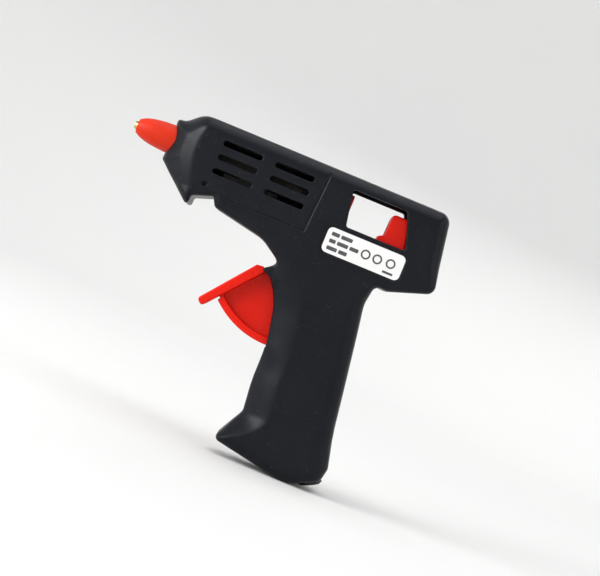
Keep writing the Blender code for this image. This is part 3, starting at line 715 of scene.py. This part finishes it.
def make_turned():
    on_axis("nozzle_hood", (
        (-64.7, 2.25, 0.05), (-64.7, 2.75, 0.3), (-62.6, 3.95, 6.0), (-60.0, 4.75, 8.0),
        (-55.9, 5.45, 20.0), (-50.9, 5.75, 10.0), (-47.4, 5.75, 0.2), (-47.4, 6.5, 0.2),
        (-46.5, 6.5, 0.2), (-46.5, 5.25, 0.1), (-49.0, 5.25, 0.1), (-49.0, 4.25, 0.1),
        (-57.0, 3.55, 1.0),
    ), "nozzle_cover", "cover_silicone", 96)
    on_axis("nozzle_body", (
        (-65.95, 0.75, 0.1), (-65.95, 1.3, 0.25), (-64.6, 1.9, 0.5), (-57.0, 3.2, 2.0),
        (-48.6, 3.9, 0.1), (-48.6, 4.9, 0.25), (-46.6, 4.9, 0.25), (-46.6, 3.4, 0.1),
        (-40.5, 3.4, 0.3), (-40.5, 2.0, 0.2), (-58.6, 2.0, 0.1), (-60.0, 0.75, 0.1),
    ), "nozzle_tip", "brass")
    sleeve = on_axis("sleeve_body", (
        (3.4, 4.9, 0.1), (3.4, 6.5, 0.1), (2.5, 6.5, 0.1), (2.5, 7.2, 0.3), (4.8, 7.2, 0.3),
        (4.8, 6.1, 0.2), (7.2, 6.1, 0.2), (7.2, 6.9, 0.3), (8.8, 6.9, 0.4), (8.8, 5.8, 0.4),
        (20.6, 5.8, 1.0), (21.3, 6.1, 0.3), (21.3, 6.9, 0.4), (24.2, 6.9, 0.6), (24.2, 4.4, 0.4),
        (23.3, 3.9, 0.5), (9.3, 3.9, 0.2), (9.3, 4.9, 0.1),
    ), "inlet_sleeve", "carriage_plastic")
    sleeve.data.materials[0] = SLEEVE_RED


def make_gland():
    """A moulded bush with a domed lip, two grooves and the bore for a cord."""
    corners = (
        (-4.3, 2.6, 0.1), (-4.3, 4.2, 0.4), (-2.7, 4.2, 0.1), (-2.7, 3.4, 0.1), (0.35, 3.4, 0.1),
        (0.35, 5.0, 0.2), (0.85, 5.0, 0.3), (1.0, 4.4, 0.1), (1.2, 4.4, 0.1), (1.35, 4.2, 0.2),
        (1.6, 3.9, 0.2), (1.6, 2.75, 0.2),
    )
    gx, gz = GLAND_CENTRE
    axis = (GLAND_AXIS[0], 0, GLAND_AXIS[1])
    mesh = turned_mesh("gland_bush", rounded(corners, 20.0), (gx, 0, gz), axis, 64)
    dress(new_piece("gland_bush", mesh, "housing", ("cord_gland",)), "rubber")


# ---- screws ----
def screw_field(x, y, z):
    """A pan-head screw along Y with a cross recess; its head is at +Y."""
    radius = np.hypot(x, z)
    dome = np.sqrt(x * x + z * z + (y - 6.4) ** 2) - 6.1
    head = smooth_max(np.maximum(radius - 2.5, 10.8 - y), dome, 0.3)
    thread = 1.15 + 0.22 * np.abs(np.mod(y / 1.1 + np.arctan2(z, x) / math.tau, 1.0) * 2 - 1)
    point = 0.3 + 0.6 * (y + 8.0)
    shank = np.maximum(radius - np.minimum(thread, point), np.maximum(-8.0 - y, y - 11.4))
    depth = 11.3 + radius * 0.5
    u, v = np.abs(x), np.abs(z)
    cross = np.minimum(np.maximum(u - 0.38, v - 1.5), np.maximum(v - 0.38, u - 1.5))
    return smooth_max(np.minimum(head, shank), -np.maximum(cross, depth - y), 0.1)


def make_screws():
    step = 0.16
    mesh = field_mesh("screw_shape", screw_field, (-3.0, -8.6, -3.0), (3.0, 13.2, 3.0), step, keep=0.6)
    for i, (x, z) in enumerate(SCREWS):
        own = mesh.copy()
        own.transform(Matrix.Translation((x * MM, 0, z * MM)))
        piece = new_piece(f"case_screw_{i + 1}", own, "housing", (f"housing_screw_{i + 1}",))
        dress(piece, "steel")


# ---- rating label ----
def flat_bar(bm, x_low, z_low, x_high, z_high, y, thick, round_by):
    """A thin rounded plate facing -Y."""
    corners = ((x_low, z_low), (x_high, z_low), (x_high, z_high), (x_low, z_high))
    outline = rounded([(*corner, round_by) for corner in corners], 15.0)
    front = bm.faces.new([bm.verts.new((x, y, z)) for x, z in outline])
    grown = bmesh.ops.extrude_face_region(bm, geom=[front])
    moved = [v for v in grown["geom"] if isinstance(v, bmesh.types.BMVert)]
    bmesh.ops.translate(bm, verts=moved, vec=(0, thick, 0))


def label_mesh(name, bars, y, thick):
    bm = bmesh.new()
    for x_low, z_low, x_high, z_high, round_by in bars:
        flat_bar(bm, x_low, z_low, x_high, z_high, y, thick, round_by)
    bmesh.ops.recalc_face_normals(bm, faces=bm.faces)
    bmesh.ops.scale(bm, verts=bm.verts, vec=(MM, MM, MM))
    mesh = bpy.data.meshes.new(name)
    bm.to_mesh(mesh)
    bm.free()
    return mesh


def make_label():
    """A white sticker with plain grey bars where print would be."""
    sheet = label_mesh("label_sheet", [(*LABEL_LOW, *LABEL_HIGH, 2.0)], LABEL_FACE, LABEL_THICK)
    plate = new_piece("label_sheet", sheet, "housing", ("rating_label",))
    dress(plate, "label_vinyl")
    bars = []
    for z, words in ((94.6, (3.2, 4.6)), (91.8, (2.6, 4.4, 3.6)), (89.0, (4.2, 3.4))):
        x = LABEL_LOW[0] + 1.8
        for length in words:
            bars.append((x, z, x + length, z + 1.5, 0.35))
            x += length + 0.7
    bars.append((44.4, 88.8, 48.6, 89.7, 0.2))
    ink_face = LABEL_FACE - 0.03
    ink = new_piece("label_print", label_mesh("label_print", bars, ink_face, INK_THICK), "housing")
    ink.data.materials.append(PRINT_INK)
    profile = ((0, 1.25), (0, 1.9), (INK_THICK, 1.9), (INK_THICK, 1.25))
    for i, x in enumerate((36.2, 41.0, 46.4)):
        place = (x, ink_face, 92.7 + 0.3 * (i == 2))
        ring = turned_mesh(f"label_mark_{i + 1}", profile, place, (0, 1, 0), 48)
        mark = new_piece(f"label_mark_{i + 1}", ring, "housing")
        mark.data.materials.append(PRINT_INK)


# ---- carried-over frame nodes ----
def dress_nodes():
    slots = {part["node"]: part["material_slot"] for part in frame["record"]["subparts"]}
    for name, slot in slots.items():
        item = frame["nodes"][name]
        for held in item.material_slots:
            held.material = MATERIALS[slot]
        if not item.material_slots:
            item.data.materials.append(MATERIALS[slot])
    for name in ("heater_clip", "sleeve_clamp"):
        for held in frame["nodes"][name].material_slots:
            held.material = DARK_STEEL


# ---- stage, light and camera ----
def make_stage():
    """A round pale floor that curves up into a wall, well clear of the gun."""
    flat, curve = 0.9, 0.9
    profile = [(r, 0.0) for r in (0.0, 0.3, 0.6, flat)]
    for a in np.radians(np.arange(5, 91, 5)):
        profile.append((flat + curve * math.sin(a), curve * (1 - math.cos(a))))
    profile.append((flat + curve, 1.6))
    bm = bmesh.new()
    line = [bm.verts.new((r, 0, h)) for r, h in profile]
    edges = [bm.edges.new(pair) for pair in zip(line, line[1:])]
    revolve(bm, line + edges, 96)
    bmesh.ops.remove_doubles(bm, verts=bm.verts, dist=1e-5)
    bmesh.ops.recalc_face_normals(bm, faces=bm.faces)
    mesh = bpy.data.meshes.new("studio_floor")
    bm.to_mesh(mesh)
    bm.free()
    mesh.shade_smooth()
    floor = bpy.data.objects.new("studio_floor", mesh)
    floor.location.z = -0.15 * MM
    bpy.context.scene.collection.objects.link(floor)
    paper = Shader("studio_paper", (0.80, 0.80, 0.79), 0.9)
    paper.surface.inputs["Specular IOR Level"].default_value = 0.1
    paper.vary_colour((0.785, 0.785, 0.78), 3.0)
    mesh.materials.append(paper.material)


def area_light(name, place, target, size, power):
    light = bpy.data.lights.new(name, "AREA")
    light.shape = "RECTANGLE"
    light.size, light.size_y = size
    light.energy = power
    item = bpy.data.objects.new(name, light)
    item.location = place
    item.rotation_euler = (Vector(target) - Vector(place)).to_track_quat("-Z", "Y").to_euler()
    bpy.context.scene.collection.objects.link(item)


def make_lights():
    aim = (0.0, 0.0, 0.075)
    area_light("top_softbox", (-0.1, -0.15, 1.5), aim, (1.5, 1.5), 12)
    area_light("key_softbox", (-1.1, -0.64, 0.34), aim, (0.8, 0.9), 19)
    area_light("fill_softbox", (1.15, -0.55, 0.6), aim, (0.5, 0.5), 1.5)
    area_light("rim_softbox", (0.4, 1.2, 0.7), aim, (0.8, 0.6), 3)
    world = bpy.data.worlds.new("studio")
    world.use_nodes = True
    sky = world.node_tree.nodes["Background"]
    sky.inputs["Color"].default_value = (0.97, 0.98, 1.0, 1)
    sky.inputs["Strength"].default_value = 0.45
    bpy.context.scene.world = world
    bpy.context.scene.view_settings.view_transform = "Standard"


def make_camera():
    """Square to the gun's left side, rolled so that the barrel slopes down to the rear."""
    roll = math.radians(VIEW_ROLL)
    camera = bpy.data.cameras.new("camera")
    camera.sensor_width = 36
    camera.lens = camera.sensor_width * VIEW_DISTANCE / VIEW_WIDTH
    camera.clip_start = 0.01
    item = bpy.data.objects.new("camera", camera)
    right = Vector((math.cos(roll), 0, math.sin(roll)))
    up = Vector((-math.sin(roll), 0, math.cos(roll)))
    back = Vector((0, -1, 0))
    turn = Matrix((right, up, back)).transposed()
    place = (VIEW_CENTRE[0] * MM, -VIEW_DISTANCE, VIEW_CENTRE[1] * MM)
    item.matrix_world = Matrix.Translation(place) @ turn.to_4x4()
    bpy.context.scene.collection.objects.link(item)
    bpy.context.scene.camera = item


make_camera()
make_stage()
make_lights()
dress_nodes()
make_shells()
make_trigger()
make_carriage()
make_turned()
make_gland()
make_screws()
make_label()
